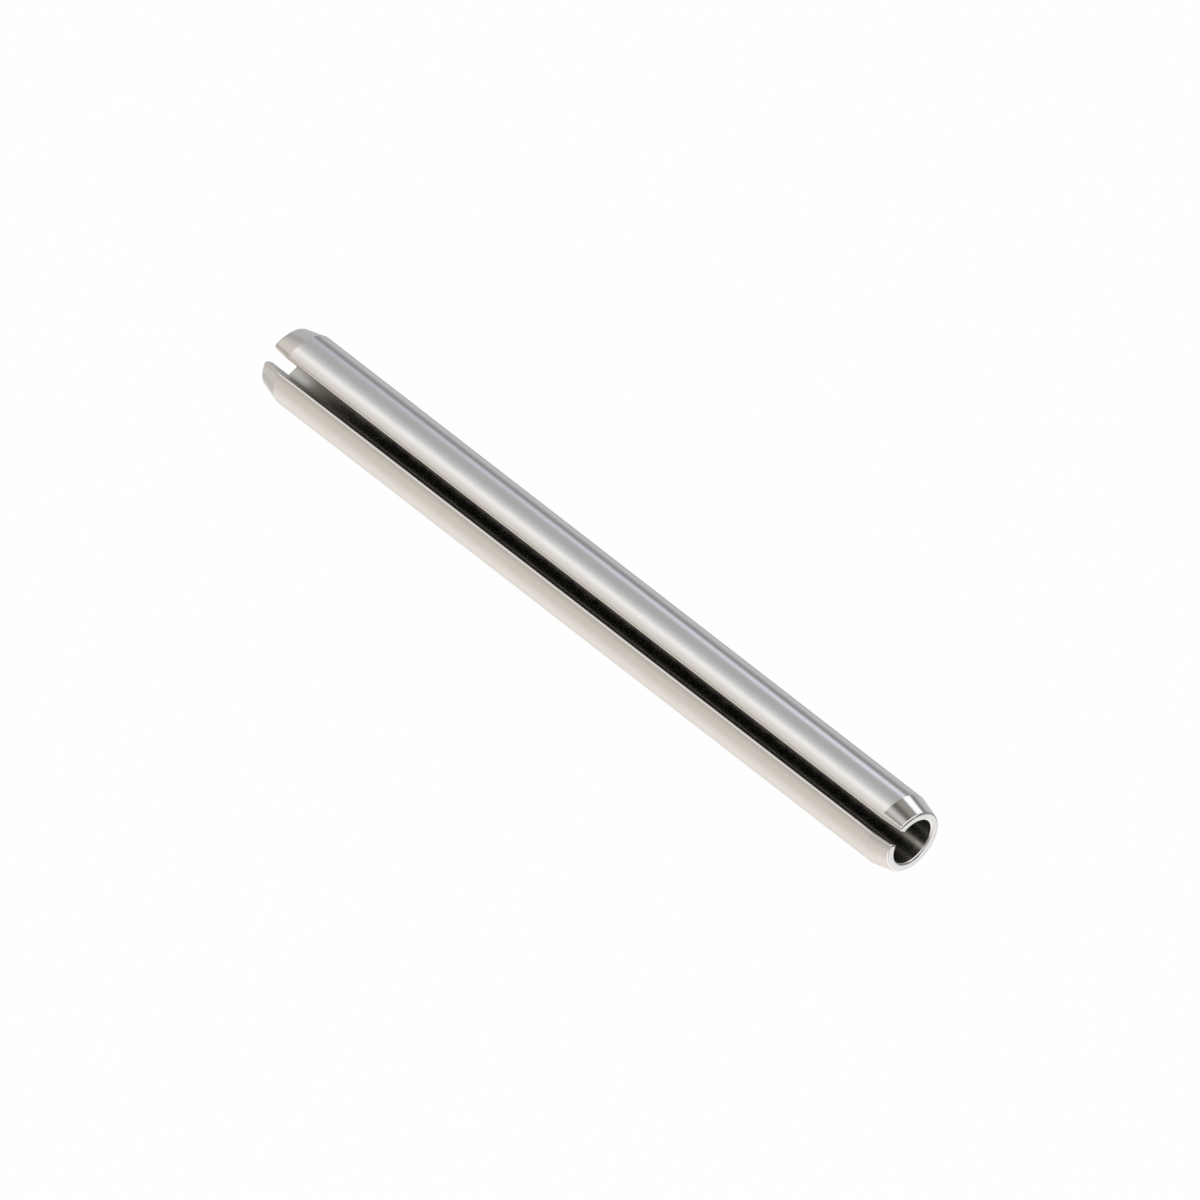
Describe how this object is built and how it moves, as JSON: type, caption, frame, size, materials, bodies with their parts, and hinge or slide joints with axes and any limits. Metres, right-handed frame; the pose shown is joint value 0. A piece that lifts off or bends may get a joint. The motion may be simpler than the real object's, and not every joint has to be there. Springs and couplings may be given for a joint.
{
  "type": "slotted spring pin",
  "caption": "Slotted spring pin, also called a roll pin: a sprung steel tube with one open seam and tapered ends, driven into a hole to hold parts in place.",
  "frame": {"origin": "on the pin's axis, halfway along it", "axes": "+X along the pin, +Z out through the middle of the open seam, +Y across the seam; the pin lies along X with its seam up"},
  "size_m": [0.0412, 0.0038, 0.0037],
  "materials": {
    "spring_steel": "satin, plain steel, with brighter ground end faces and tapers"
  },
  "bodies": {
    "root": {"spring_pin": "spring_steel"}
  },
  "joints": []
}
